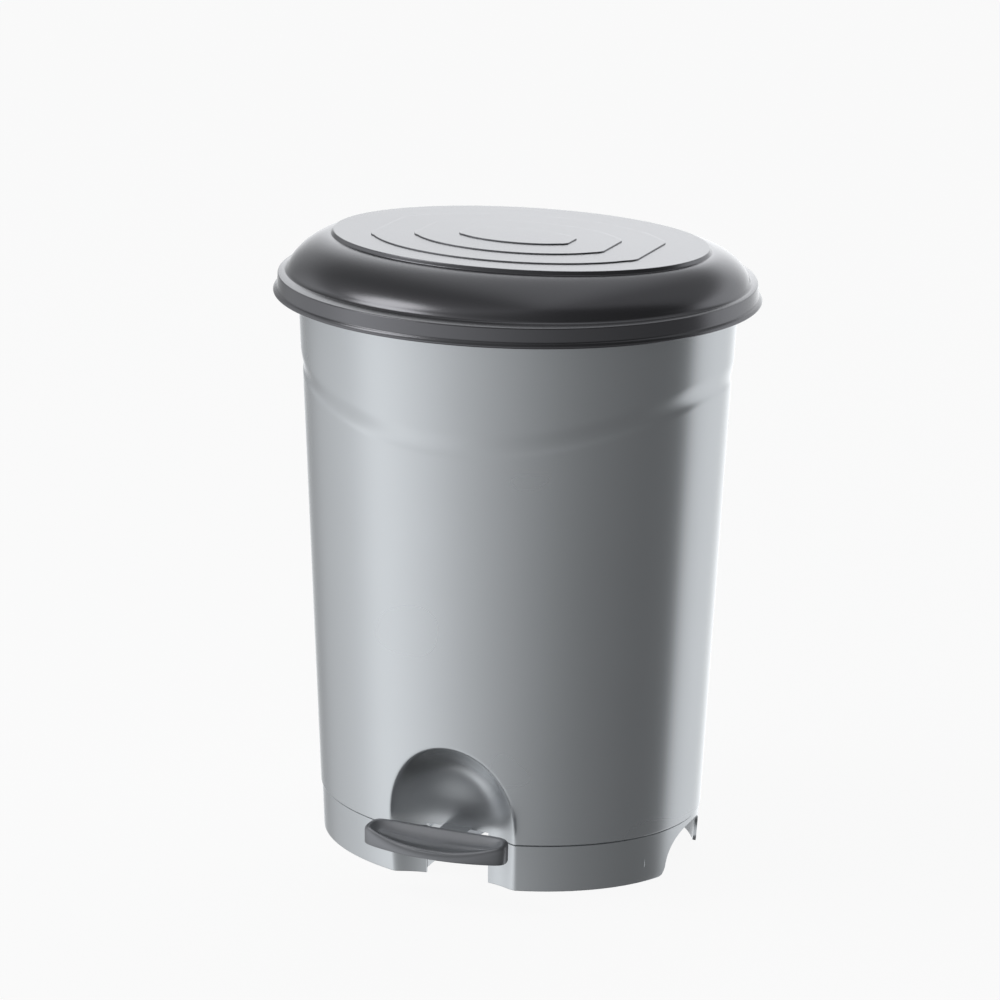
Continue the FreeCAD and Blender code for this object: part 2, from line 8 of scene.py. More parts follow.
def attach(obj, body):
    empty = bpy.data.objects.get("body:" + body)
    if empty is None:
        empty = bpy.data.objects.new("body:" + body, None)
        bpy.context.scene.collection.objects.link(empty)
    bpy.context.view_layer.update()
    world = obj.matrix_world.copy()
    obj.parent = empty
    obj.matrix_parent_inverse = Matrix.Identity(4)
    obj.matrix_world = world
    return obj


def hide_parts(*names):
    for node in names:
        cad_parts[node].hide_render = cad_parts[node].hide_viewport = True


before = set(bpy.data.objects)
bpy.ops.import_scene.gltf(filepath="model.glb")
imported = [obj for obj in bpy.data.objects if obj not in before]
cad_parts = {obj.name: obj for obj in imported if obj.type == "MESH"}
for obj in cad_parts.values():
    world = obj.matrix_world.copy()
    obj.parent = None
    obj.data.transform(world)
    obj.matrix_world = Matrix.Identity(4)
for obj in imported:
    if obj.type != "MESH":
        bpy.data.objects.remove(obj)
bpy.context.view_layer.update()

# The looks of the oval pedal bin. Shapes are worked out in millimetres in the CAD frame (floor at
# z = 0, pedal at -Y, hinge at +Y) and turned into metres when a mesh is made. A size pair such as
# (165, 131) is an oval's half-width along X and half-depth along Y.
MM = 0.001
WALL = 2.5

# Base
BASE_TOP_Z = 41.2
BASE_FOOT = (165.0, 131.0)
BASE_TOP = (166.4, 134.2)
SPIGOT = (164.4, 132.4)
SPIGOT_Z = (37.5, 55.2)
SPIGOT_GAP = 2.8
CHANNEL_HALF = 28.0              # the lever's channel between the two long ribs
LONG_RIB_Y = (-114.5, 129.0)
LONG_RIB_Z = (4.0, 38.0)
CROSS_RIB_Y = 60.0
CROSS_RIB_REACH = 147.0
CROSS_RIB_Z = (14.0, 36.0)
BOSSES = [(x, y) for x in (-85.0, 85.0) for y in (-CROSS_RIB_Y, CROSS_RIB_Y)]
BASE_BOSS = (7.0, 2.1)           # radius and bore
BODY_BOSS = (5.0, 2.05)
BODY_BOSS_FOOT_Z = 36.0
ARCH = (40.0, 36.5)              # half-width and height of the grip arches
ARCH_SQUARENESS = 2.5
ARCH_FLARE = 7.0
ARCH_X = (125.0, 185.0)          # the arches' cutters reach across the skirt here

# Body
BODY_FOOT_Z = 42.3
BODY_TOP_Z = 488.5
BODY_FOOT = (167.5, 135.5)
BODY_TOP = (185.8, 156.2)
FLOOR_Z = (55.5, 58.0)
COLLAR_LOW = 380.5               # the collar's edge is an arc, lowest at the front
COLLAR_RADIUS = 455.0
COLLAR_DIP = 0.75
COLLAR_DIP_BELOW = 6.0
COLLAR_PROUD = 1.0
COLLAR_SWELL = 17.0
COLLAR_PLAN_Z = 400.0            # the wall's width at this height sets the arc's ends
FLANGE = (196.5, 168.0)
FLANGE_SHIFT = -6.0
FLANGE_THICK = 2.5

# Openings cut in the body, each as (low, high) along X, Y and Z
ROD_NOTCH = ((-9.0, 9.0), (140.0, 200.0), (452.0, 495.0))
BRACKET_RECESS = ((-32.0, 32.0), (158.6, 200.0), (480.0, 495.0))
ROD_HOLE = ((-6.0, 6.0), (112.0, 126.0), (50.0, 60.0))

# Toe niche
NICHE_HALF = (60.0, 70.0)        # half-width, and height of its rounded top
NICHE_DEPTH = 50.0
NICHE_Y = -165.0
NICHE_DOME_Z = 53.5
NICHE_TOP_Z = 136.0
NICHE_ROUND = 17.0
SLOT_TOP = 44.5
SLOT_Y = (-150.0, -95.0)

# Lid
LID_FOOT_Z = 478.4
LIP = (205.0, 190.8)
SKIRT_FOOT = (202.3, 188.3)
SKIRT_TOP_Z = 494.2
SKIRT_TOP = (200.8, 186.9)
LEDGE_TOP_Z = 495.4
DOME_FOOT = (195.0, 170.4)
DOME_TOP = (163.0, 118.5)
DOME_TOP_Z = 521.5
DOME_FULLNESS = 1.55             # 2 would make the dome's section a quarter-ellipse, 1 a straight slope
PANEL = (161.5, 117.0)
PANEL_Z = 524.6
PANEL_SHIFT = 5.0                # the panel's centre lies this far back
STEP_HEIGHT = 0.9
STEPS = [(127.0, 88.0, 118.0), (90.0, 58.0, 84.0), (52.0, 26.0, 48.5)]
DOME_WALL = 2.0
STEP_CORNER = 5.0                # rounding where a step's oval meets its straight ends
POCKET_CENTRE = (0.0, 150.0, 514.6)
POCKET_HALF = (13.0, 7.0)
POCKET_DEPTH = 1.3
POCKET_SLOPE = radians(-23.0)

# Pedal pad
PAD_REAR_Y = -149.0
PAD_FRONT_Y = -181.0
PAD_END_Y = -168.0
PAD_HALF = 64.5
PAD_BOTTOM = 40.0
PAD_REAR_Z = 58.6
PAD_FRONT_Z = 45.0
PAD_END_RISE = 9.0
PAD_TAPER = 4.0
PAD_ROLL = 4.5                   # rounding of the rim's outer edge
PAD_DISH = 2.6
PAD_DISH_WIDTH = 9.0
PAD_SMOOTHING = 26               # passes that round the outline's corners

# Inner bucket and bail
BUCKET_Z = (58.4, 477.0)
BUCKET_FOOT = (140.0, 104.5)
BUCKET_TOP = (171.0, 141.0)
BUCKET_WALL = 2.0
BUCKET_BACK_Y = 131.0
BUCKET_RIM = 4.0
BUCKET_FLAT_INSET = 60.0         # how far inside the floor's edge its first ring lies
BUCKET_OUTSIDE = 0.58            # share of the bucket's path that lies on its outside
BAIL_Z = 481.0
BAIL_HALF = 166.0
BAIL_FRONT = 136.0
BAIL_RADIUS = 2.0
GRIP_RADIUS = 4.5
GRIP_HALF = 15.0


# ---------------------------------------------------------------- outlines and skins

def oval_angles():
    """Angles round an oval from the back, finer across the front for the niche. Angle 0 is the front."""
    front, fine, coarse = 0.52, 0.008, radians(1.6)
    side_count = round((pi - front) / coarse)
    front_count = round(2 * front / fine)
    left = [-pi + (pi - front) * i / side_count for i in range(side_count)]
    middle = [-front + 2 * front * i / front_count for i in range(front_count)]
    right = [front + (pi - front) * i / side_count for i in range(side_count)]
    return left + middle + right


ANGLES = oval_angles()


def oval(z, size, shift=0.0):
    """A ring of points round an oval at height z. Angle 0 is the front."""
    return [(size[0] * sin(t), shift - size[1] * cos(t), z) for t in ANGLES]


def grown(size, amount):
    return size[0] + amount, size[1] + amount


def between(z, low_z, low, high_z, high):
    """An oval's size on the straight line between two heights."""
    share = (z - low_z) / (high_z - low_z)
    return low[0] + share * (high[0] - low[0]), low[1] + share * (high[1] - low[1])


def steps(start, stop, step):
    """Heights from start to stop, both included, about one step apart."""
    count = max(1, round(abs(stop - start) / step))
    return [start + (stop - start) * i / count for i in range(count + 1)]


def softened(path, pieces=4):
    """A (z, size, radius) path with each corner rounded off by about its radius."""
    points = [Vector((z, size[0], size[1])) for z, size, _ in path]
    rounded = [points[0]]
    for before, here, after, corner in zip(points, points[1:], points[2:], path[1:]):
        radius = corner[2]
        back, ahead = before - here, after - here
        if radius == 0:
            rounded.append(here)
            continue
        start = here + back.normalized() * min(radius, back.length * 0.45)
        end = here + ahead.normalized() * min(radius, ahead.length * 0.45)
        for i in range(pieces + 1):
            t = i / pieces
            rounded.append(start * (1 - t) ** 2 + here * 2 * t * (1 - t) + end * t ** 2)
    rounded.append(points[-1])
    return [(point[0], (point[1], point[2])) for point in rounded]


def eased(share):
    """A smooth step from 0 to 1."""
    share = min(1.0, max(0.0, share))
    return share * share * (3 - 2 * share)


def smooth_max(a, b, width):
    """The larger of two values, blended over the given width."""
    overlap = max(width - abs(a - b), 0.0)
    return max(a, b) + overlap * overlap / (4 * width)


def pressed(ring, gap=0.0):
    """A ring of wall points pushed back behind the toe niche, with a soft edge."""
    result = []
    for x, y, z in ring:
        if y < 0 and z < NICHE_TOP_Z:
            rise = max(0.0, z - NICHE_DOME_Z) / NICHE_HALF[1]
            out = (x / NICHE_HALF[0]) ** 2 + rise ** 2
            niche_y = NICHE_Y + NICHE_DEPTH * sqrt(max(0.0, 1 - out * out)) + gap
            y = smooth_max(y, niche_y, NICHE_ROUND)
        result.append((x, y, z))
    return result


def skin(rings, loop=False):
    """Points and faces through rings. A ring of one point closes an end, and loop joins the ends."""
    points, starts = [], []
    for ring in rings:
        starts.append(len(points))
        points += ring
    pairs = list(zip(range(len(rings)), range(1, len(rings))))
    if loop:
        pairs.append((len(rings) - 1, 0))
    faces = []
    for a, b in pairs:
        count = max(len(rings[a]), len(rings[b]))
        for i in range(count):
            j = (i + 1) % count
            corners = [starts[a] + i, starts[a] + j, starts[b] + j, starts[b] + i]
            if len(rings[a]) == 1:
                corners = [starts[a], starts[b] + j, starts[b] + i]
            elif len(rings[b]) == 1:
                corners = [starts[a] + i, starts[a] + j, starts[b]]
            faces.append(corners)
    return points, faces


def prism(outline, low, high):
    """A closed prism: a (y, z) outline carried along X."""
    middle_y = sum(y for y, _ in outline) / len(outline)
    middle_z = sum(z for _, z in outline) / len(outline)
    return skin([[(low, middle_y, middle_z)], [(low, y, z) for y, z in outline],
                 [(high, y, z) for y, z in outline], [(high, middle_y, middle_z)]])


def bar(x, y, z):
    """A closed box from three (low, high) pairs."""
    return prism([(y[0], z[0]), (y[1], z[0]), (y[1], z[1]), (y[0], z[1])], x[0], x[1])


def circle(radius, centre, count=32):
    return [(centre[0] + radius * cos(2 * pi * i / count), centre[1] + radius * sin(2 * pi * i / count))
            for i in range(count)]


def tube(radius, bore, place, z, count=32):
    """An upright tube at (x, y), closed into a loop."""
    rings = [[(x, y, height) for x, y in circle(size, place, count)]
             for size, height in ((radius, z[0]), (radius, z[1]), (bore, z[1]), (bore, z[0]))]
    return skin(rings, loop=True)


def joined(parts):
    """Several (points, faces) lists as one."""
    points, faces = [], []
    for part_points, part_faces in parts:
        offset = len(points)
        points += part_points
        faces += [[corner + offset for corner in face] for face in part_faces]
    return points, faces


def mesh_object(name, shape):
    """An object from points in millimetres, with its normals facing outwards."""
    points, faces = shape
    mesh = bpy.data.meshes.new(name)
    mesh.from_pydata([Vector(point) * MM for point in points], [], faces)
    work = bmesh.new()
    work.from_mesh(mesh)
    bmesh.ops.recalc_face_normals(work, faces=work.faces)
    work.to_mesh(mesh)
    work.free()
    thing = bpy.data.objects.new(name, mesh)
    bpy.context.scene.collection.objects.link(thing)
    return thing


def carved(shape, cutters):
    """The points and faces left when closed cutters are taken out of a closed shape."""
    thing = mesh_object("carving", shape)
    tools = [mesh_object("cutter", cutter) for cutter in cutters]
    for tool in tools:
        modifier = thing.modifiers.new("cut", "BOOLEAN")
        modifier.object = tool
        modifier.solver = "EXACT"
    settled = thing.evaluated_get(bpy.context.evaluated_depsgraph_get())
    mesh = bpy.data.meshes.new_from_object(settled)
    points = [tuple(vertex.co / MM) for vertex in mesh.vertices]
    faces = [list(face.vertices) for face in mesh.polygons]
    for used in [thing] + tools:
        bpy.data.objects.remove(used)
    return points, faces


def piece(name, shape, body, material, nodes, crease=32):
    """A finished piece of the object that stands for CAD nodes."""
    thing = mesh_object(name, shape)
    thing.data.shade_smooth()
    thing.data.set_sharp_from_angle(angle=radians(crease))
    thing.data.materials.append(material)
    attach(thing, body)
    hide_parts(*nodes)
    return thing


# ---------------------------------------------------------------- base

def base_size(z, inset=0.0):
    return grown(between(z, 0.0, BASE_FOOT, BASE_TOP_Z, BASE_TOP), -inset)


def base_ring():
    """Skirt and spigot as one closed band."""
    edge = 1.0
    outside = softened([(5.0, base_size(5.0), 0), (0.0, base_size(0.0), edge),
                        (0.0, base_size(0.0, WALL), edge), (5.0, base_size(5.0, WALL), 0)])
    rings = [pressed(oval(z, base_size(z, WALL)), WALL) for z in steps(SPIGOT_Z[0], 7.0, 3.0)]
    rings += [pressed(oval(z, size), base_size(z)[0] - size[0]) for z, size in reversed(outside)]
    rings += [pressed(oval(z, base_size(z))) for z in steps(7.0, BASE_TOP_Z - 0.8, 2.5)]
    shoulder = softened([(BASE_TOP_Z - 0.8, base_size(BASE_TOP_Z - 0.8), 0), (BASE_TOP_Z, BASE_TOP, 0.7),
                         (BASE_TOP_Z, grown(SPIGOT, 0.4), 0)])
    share = SPIGOT_GAP / (BASE_TOP[0] - SPIGOT[0])
    rings += [pressed(oval(z, size), share * (BASE_TOP[0] - size[0])) for z, size in shoulder[1:]]
    rings += [pressed(oval(z, SPIGOT), SPIGOT_GAP) for z in steps(BASE_TOP_Z + 0.3, SPIGOT_Z[1], 3.0)]
    rings += [pressed(oval(z, grown(SPIGOT, -WALL)), SPIGOT_GAP + WALL)
              for z in steps(SPIGOT_Z[1], SPIGOT_Z[0] + 1.0, 3.0)]
    return skin(rings, loop=True)


def base_frame():
    """Lever channel, cross ribs and screw bosses."""
    shapes = []
    for side in (-1, 1):
        inner = side * CHANNEL_HALF
        outer = side * (CHANNEL_HALF + WALL)
        shapes.append(bar(sorted((inner, outer)), LONG_RIB_Y, LONG_RIB_Z))
        for y in (-CROSS_RIB_Y, CROSS_RIB_Y):
            across = sorted((inner, side * CROSS_RIB_REACH))
            shapes.append(bar(across, (y - WALL / 2, y + WALL / 2), CROSS_RIB_Z))
    shapes += [tube(*BASE_BOSS, place, CROSS_RIB_Z) for place in BOSSES]
    return joined(shapes)


def arch_outline():
    """A squarish arch with its feet flared out."""
    foot = ARCH[0] + ARCH_FLARE
    half = [(foot, -3.0), (foot, 0.0), (ARCH[0] + 0.4 * ARCH_FLARE, 1.6), (ARCH[0] + 0.1 * ARCH_FLARE, 5.0)]
    for i in range(1, 24):
        angle = pi / 2 * i / 23
        y = ARCH[0] * max(0.0, cos(angle)) ** (2 / ARCH_SQUARENESS)
        z = ARCH[1] * sin(angle) ** (2 / ARCH_SQUARENESS)
        if z > 7.0:
            half.append((y, z))
    return half + [(-y, z) for y, z in reversed(half[:-1])]


def make_base(material):
    slot = bar((-CHANNEL_HALF, CHANNEL_HALF), SLOT_Y, (-3.0, SLOT_TOP))
    near, far = ARCH_X
    arches = [prism(arch_outline(), low, low + far - near) for low in (-far, near)]
    ring = carved(base_ring(), [slot] + arches)
    piece("base_moulding", joined([ring, base_frame()]), "bin", material, ["base"])


# ---------------------------------------------------------------- body

def body_size(z, inset=0.0):
    return grown(between(z, BODY_FOOT_Z, BODY_FOOT, BODY_TOP_Z, BODY_TOP), -inset)


def collar_offset(above):
    """How far the wall stands out at a distance above the collar's edge: a soft dip, then a swell."""
    dip = COLLAR_DIP * eased(1 + above / COLLAR_DIP_BELOW)
    return (COLLAR_DIP + COLLAR_PROUD) * eased(above / COLLAR_SWELL) - dip


def collar_ring(above):
    """A ring of wall points at a constant distance above the collar's curved edge."""
    ring = []
    for angle in ANGLES:
        x = body_size(COLLAR_PLAN_Z)[0] * sin(angle)
        z = COLLAR_LOW + COLLAR_RADIUS - sqrt(COLLAR_RADIUS ** 2 - x * x) + above
        size = grown(body_size(z), collar_offset(above))
        ring.append((size[0] * sin(angle), -size[1] * cos(angle), z))
    return ring


def body_shape():
    """Outer wall, rim flange, inner wall and floor as one closed skin."""
    inner_foot = body_size(BODY_FOOT_Z, WALL)
    outer_foot = body_size(BODY_FOOT_Z)
    rings = [[(0, 0, FLOOR_Z[0])]]
    rings += [pressed(oval(z, body_size(z, WALL)), WALL) for z in steps(FLOOR_Z[0], BODY_FOOT_Z, 3.0)]
    edge = softened([(BODY_FOOT_Z, inner_foot, 0), (BODY_FOOT_Z, outer_foot, 0.8),
                     (BODY_FOOT_Z + 2, body_size(BODY_FOOT_Z + 2), 0)])
    rings += [pressed(oval(z, size), body_size(z)[0] - size[0]) for z, size in edge[1:]]
    rings += [pressed(oval(z, body_size(z))) for z in steps(BODY_FOOT_Z + 3.5, NICHE_TOP_Z, 1.6)]
    rings += [oval(z, body_size(z)) for z in steps(NICHE_TOP_Z + 10.0, COLLAR_LOW - 25.0, 40.0)]
    rings += [collar_ring(above) for above in [-16.0] + steps(-7.0, 18.0, 1.0)]
    above_collar = steps(445.0, BODY_TOP_Z - FLANGE_THICK - 6.0, 12.0)
    rings += [oval(z, grown(body_size(z), COLLAR_PROUD)) for z in above_collar]
    rings += flange_rings()
    inner = steps(BODY_TOP_Z - 3.0, NICHE_TOP_Z, 60.0) + steps(NICHE_TOP_Z - 3.0, FLOOR_Z[1] + 3.0, 3.0)
    rings += [pressed(oval(z, body_size(z, WALL)), WALL) for z in inner]
    rings += [pressed(oval(FLOOR_Z[1], body_size(FLOOR_Z[1], WALL + 2.0)), WALL), [(0, 0, FLOOR_Z[1])]]
    return skin(rings)


def flange_rings():
    """The rim flange: its oval is rounder than the body's and set a little forward."""
    under = BODY_TOP_Z - FLANGE_THICK
    wall = grown(body_size(under), COLLAR_PROUD)
    rings = [oval(under - 3.0, grown(body_size(under - 3.0), COLLAR_PROUD)),
             oval(under - 0.6, grown(wall, 0.2)), oval(under, grown(wall, 1.2))]
    for z, inset in ((under, 0.6), (under + 0.3, 0.1), (under + 1.2, 0.0), (BODY_TOP_Z - 0.3, 0.1),
                     (BODY_TOP_Z, 0.7)):
        rings.append(oval(z, grown(FLANGE, -inset), FLANGE_SHIFT))
    rings.append(oval(BODY_TOP_Z, body_size(BODY_TOP_Z, WALL - 0.7)))
    rings.append(oval(BODY_TOP_Z - 0.7, body_size(BODY_TOP_Z, WALL)))
    return rings


def make_body(material):
    slot = ((-CHANNEL_HALF, CHANNEL_HALF), SLOT_Y, (35.0, SLOT_TOP))
    cutters = [bar(*sizes) for sizes in (slot, ROD_NOTCH, BRACKET_RECESS, ROD_HOLE)]
    bosses = [tube(*BODY_BOSS, place, (BODY_BOSS_FOOT_Z, FLOOR_Z[0] + 0.5)) for place in BOSSES]
    shape = joined([carved(body_shape(), cutters)] + bosses)
    piece("body_moulding", shape, "bin", material, ["body_shell"])


# ---------------------------------------------------------------- lid

def dome_path(inset=0.0, count=18):
    """(z, size) from the dome's foot to its top."""
    path = []
    for i in range(count + 1):
        angle = pi / 2 * i / count
        out = max(0.0, cos(angle)) ** (2 / DOME_FULLNESS)
        rise = sin(angle) ** (2 / DOME_FULLNESS)
        size = tuple(top + (foot - top) * out - inset for foot, top in zip(DOME_FOOT, DOME_TOP))
        path.append((LEDGE_TOP_Z + (DOME_TOP_Z - LEDGE_TOP_Z) * rise - inset, size))
    return path


def lid_rings():
    """Underside, lip, skirt, ledge, dome, riser and panel as one closed skin."""
    ledge_under = SKIRT_TOP_Z - WALL
    inner_dome = list(reversed(dome_path(DOME_WALL)))[:-1]
    path = [(PANEL_Z - WALL, grown(PANEL, -WALL), 0)]
    path += [(z, size, 0) for z, size in inner_dome]
    path += [(ledge_under, grown(DOME_FOOT, -WALL), 0.8), (ledge_under, grown(SKIRT_TOP, -WALL), 0.8),
             (LID_FOOT_Z, grown(SKIRT_FOOT, -WALL), 0.5), (LID_FOOT_Z, grown(LIP, -0.9), 0.8),
             (LID_FOOT_Z + 1.3, LIP, 1.2), (LID_FOOT_Z + 3.4, grown(LIP, -1.4), 1.0),
             (LID_FOOT_Z + 4.6, grown(SKIRT_FOOT, -0.5), 1.2), (SKIRT_TOP_Z, SKIRT_TOP, 1.3),
             (LEDGE_TOP_Z - 0.5, grown(DOME_FOOT, 1.6), 1.6)]
    dome = dome_path()
    path += [(z, size, 0) for z, size in dome[1:-1]]
    path += [(DOME_TOP_Z, DOME_TOP, 1.0), (PANEL_Z, PANEL, 0.7),
             (PANEL_Z, grown(PANEL, -2.0), 0), (PANEL_Z, grown(PANEL, -3.0), 0)]
    rings = [[(0, 0, PANEL_Z - WALL)]] + [oval(z, size, dome_shift(z)) for z, size in softened(path)]
    return rings + [[(0, 0, PANEL_Z)]]


def dome_shift(z):
    """How far back an oval of the dome is centred."""
    return PANEL_SHIFT * min(1.0, max(0.0, z - LEDGE_TOP_Z) / (DOME_TOP_Z - LEDGE_TOP_Z))


def step_outline(half, cut, inset, count=240):
    """An oval with its two ends cut straight and the corners eased."""
    limit = cut - inset
    points = []
    for i in range(count):
        angle = 2 * pi * i / count
        x = (half[0] - inset) * sin(angle)
        if abs(x) > limit - STEP_CORNER:
            reach = limit - smooth_max(0.0, limit - abs(x), STEP_CORNER) + STEP_CORNER / 4
            x = copysign(min(reach, limit), x)
        points.append((x, -(half[1] - inset) * cos(angle)))
    return points


def lid_step(level):
    """One raised step of the lid's top, with a rounded upper edge."""
    half_x, half_y, cut = STEPS[level]
    foot = PANEL_Z + STEP_HEIGHT * level
    rings = [[(0, 0, foot - 0.5)]]
    for z, inset in ((foot - 0.5, 0.0), (foot, -0.05), (foot + 0.5, 0.0), (foot + 0.8, 0.2),
                     (foot + STEP_HEIGHT, 0.6), (foot + STEP_HEIGHT, 1.2)):
        rings.append([(x, y, z) for x, y in step_outline((half_x, half_y), cut, inset)])
    rings.append([(0, 0, foot + STEP_HEIGHT)])
    return skin(rings)


def hinge_pocket():
    """Cutter for the shallow pocket in the dome above the hinge."""
    wide, deep = POCKET_HALF
    points, faces = bar((-wide, wide), (-deep, deep), (-POCKET_DEPTH, 12.0))
    turn = Matrix.Rotation(POCKET_SLOPE, 3, "X")
    return [tuple(turn @ Vector(point) + Vector(POCKET_CENTRE)) for point in points], faces


def make_lid(material):
    dome = carved(skin(lid_rings()), [hinge_pocket()])
    levels = [lid_step(level) for level in range(len(STEPS))]
    piece("lid_moulding", joined([dome] + levels), "lid", material, ["lid_shell"])


# ---------------------------------------------------------------- pedal pad

def pad_outline():
    """The pad's plan as (x, y) points: straight rear edge, short ends, one long front arc."""
    sag = PAD_END_Y - PAD_FRONT_Y
    radius = (PAD_HALF ** 2 + sag ** 2) / (2 * sag)
    span = [PAD_HALF * (1 - 2 * i / 80) for i in range(81)]
    front = [(x, PAD_FRONT_Y + radius - sqrt(radius ** 2 - x ** 2)) for x in span]
    corner = PAD_HALF - PAD_TAPER
    rear = [(corner * (i / 30 - 1), PAD_REAR_Y) for i in range(61)]
    ends = steps(PAD_END_Y, PAD_REAR_Y, 1.2)[1:-1]
    side = [(PAD_HALF - PAD_TAPER * (y - PAD_END_Y) / (PAD_REAR_Y - PAD_END_Y), y) for y in ends]
    outline = front + [(-x, y) for x, y in side] + rear + list(reversed(side))
    for _ in range(PAD_SMOOTHING):
        outline = [((before[0] + 2 * here[0] + after[0]) / 4, (before[1] + 2 * here[1] + after[1]) / 4)
                   for before, here, after in zip(outline[-1:] + outline, outline, outline[1:] + outline[:1])]
    return outline


def pad_top(x, y):
    """Height of the pad's rim: sloping to the front, and higher at the two ends."""
    share = (y - PAD_REAR_Y) / (PAD_FRONT_Y - PAD_REAR_Y)
    return PAD_REAR_Z + share * (PAD_FRONT_Z - PAD_REAR_Z) + share * PAD_END_RISE * abs(x / PAD_HALF) ** 3


def shrunk(outline, inset):
    """The pad's outline drawn in towards its middle."""
    middle = (PAD_REAR_Y + PAD_FRONT_Y) / 2
    wide = 1 - inset / PAD_HALF
    deep = 1 - 2 * inset / (PAD_REAR_Y - PAD_FRONT_Y)
    return [(x * wide, middle + (y - middle) * deep) for x, y in outline]


def make_pad(material):
    outline = pad_outline()
    quarter = [pi / 2 * i / 8 for i in range(9)]
    under = [(2.0, PAD_BOTTOM + 6.0), (2.0, PAD_BOTTOM), (0.6, PAD_BOTTOM), (0.1, PAD_BOTTOM + 0.5)]
    over = [(PAD_ROLL * (1 - cos(angle)), PAD_ROLL * (1 - sin(angle))) for angle in quarter]
    over += [(PAD_ROLL + PAD_DISH_WIDTH * i / 12, PAD_DISH * sin(pi / 2 * i / 12)) for i in range(1, 13)]
    middle = (PAD_REAR_Y + PAD_FRONT_Y) / 2
    rings = [[(0.0, middle, PAD_BOTTOM + 6.0)]]
    rings += [[(x, y, z) for x, y in shrunk(outline, inset)] for inset, z in under]
    rings += [[(x, y, pad_top(x, y) - drop) for x, y in shrunk(outline, inset)] for inset, drop in over]
    rings.append([(0.0, middle, pad_top(0.0, middle) - PAD_DISH)])
    piece("pedal_tread", skin(rings), "pedal", material, ["pedal_pad"], crease=50)


# ---------------------------------------------------------------- bucket and bail

def flattened(ring, back):
    """A ring with everything behind a flat back brought forward to it."""
    return [(x, -smooth_max(-y, -back, 5.0) if y > 0 else y, z) for x, y, z in ring]


def make_bucket(material):
    low, high = BUCKET_Z

    def size(z, inset=0.0):
        return grown(between(z, low, BUCKET_FOOT, high, BUCKET_TOP), -inset)

    flat = grown(BUCKET_FOOT, -BUCKET_FLAT_INSET)
    corners = [(low, flat, 0), (low, BUCKET_FOOT, 9.0), (low + 60, size(low + 60), 0),
               (high - 20, size(high - 20), 0), (high - 2, size(high - 2), 0.6),
               (high - 2, grown(BUCKET_TOP, BUCKET_RIM), 0.5), (high, grown(BUCKET_TOP, BUCKET_RIM), 0.6),
               (high, size(high, BUCKET_WALL), 0.6), (high - 20, size(high - 20, BUCKET_WALL), 0),
               (low + 60, size(low + 60, BUCKET_WALL), 0), (low + 2, size(low + 2, BUCKET_WALL), 9.0),
               (low + 2, flat, 0)]
    path = softened(corners, 6)
    turn = len(path) * BUCKET_OUTSIDE
    rings = [flattened(oval(z, half), BUCKET_BACK_Y - (BUCKET_WALL if i > turn else 0.0))
             for i, (z, half) in enumerate(path)]
    rings = [[(0, 0, low)]] + rings + [[(0, 0, low + BUCKET_WALL)]]
    piece("bucket_moulding", skin(rings), "bucket", material, ["inner_bucket"])


def hose(points, radii, count=20):
    """A round tube through points in a level plane, closed at both ends."""
    rings = [[tuple(points[0])]]
    for i, (point, radius) in enumerate(zip(points, radii)):
        ahead = (points[min(i + 1, len(points) - 1)] - points[max(i - 1, 0)]).normalized()
        side = ahead.cross(Vector((0, 0, 1)))
        rings.append([tuple(point + side * radius * cos(2 * pi * k / count)
                            + Vector((0, 0, 1)) * radius * sin(2 * pi * k / count)) for k in range(count)])
    rings.append([tuple(points[-1])])
    return skin(rings)


def bail_path(half, count):
    """Points on the bail's arc between x = -half and half."""
    radius = (BAIL_HALF ** 2 + BAIL_FRONT ** 2) / (2 * BAIL_FRONT)
    reach = asin(half / radius)
    path = []
    for i in range(count + 1):
        angle = reach * (2 * i / count - 1)
        path.append(Vector((radius * sin(angle), radius - BAIL_FRONT - radius * cos(angle), BAIL_Z)))
    return path


def make_bail(steel, plastic):
    wire = bail_path(BAIL_HALF, 160)
    piece("bail_wire", hose(wire, [BAIL_RADIUS] * len(wire)), "bail", steel, ["bail"])
    grip = bail_path(GRIP_HALF, 40)
    radii = [GRIP_RADIUS - 0.35 * (i % 4 == 0) - 0.8 * (i in (0, 40)) for i in range(len(grip))]
    piece("bail_handle", hose(grip, radii), "bail", plastic, ["bail_grip"], crease=60)


# ---------------------------------------------------------------- materials

def shader(name, colour, metallic, roughness):
    """A principled material with plain values on its own sockets."""
    material = bpy.data.materials.new(name)
    material.use_nodes = True
    surface = material.node_tree.nodes["Principled BSDF"]
    surface.inputs["Base Color"].default_value = (*colour, 1)
    surface.inputs["Metallic"].default_value = metallic
    surface.inputs["Roughness"].default_value = roughness
    return material, surface


def noise(material, scale, detail=4.0, stretch=(1, 1, 1)):
    """Noise over the object's own coordinates, in metres times the scale."""
    nodes, links = material.node_tree.nodes, material.node_tree.links
    place = nodes.new("ShaderNodeTexCoord")
    mapping = nodes.new("ShaderNodeMapping")
    mapping.inputs["Scale"].default_value = stretch
    texture = nodes.new("ShaderNodeTexNoise")
    texture.inputs["Scale"].default_value = scale
    texture.inputs["Detail"].default_value = detail
    links.new(place.outputs["Object"], mapping.inputs["Vector"])
    links.new(mapping.outputs["Vector"], texture.inputs["Vector"])
    return texture.outputs["Fac"]


def spread(material, factor, low, high, start=0.0, end=1.0):
    """A value that runs from low to high as the factor goes from start to end."""
    node = material.node_tree.nodes.new("ShaderNodeMapRange")
    node.inputs["From Min"].default_value = start
    node.inputs["From Max"].default_value = end
    node.inputs["To Min"].default_value = low
    node.inputs["To Max"].default_value = high
    material.node_tree.links.new(factor, node.inputs["Value"])
    return node.outputs["Result"]


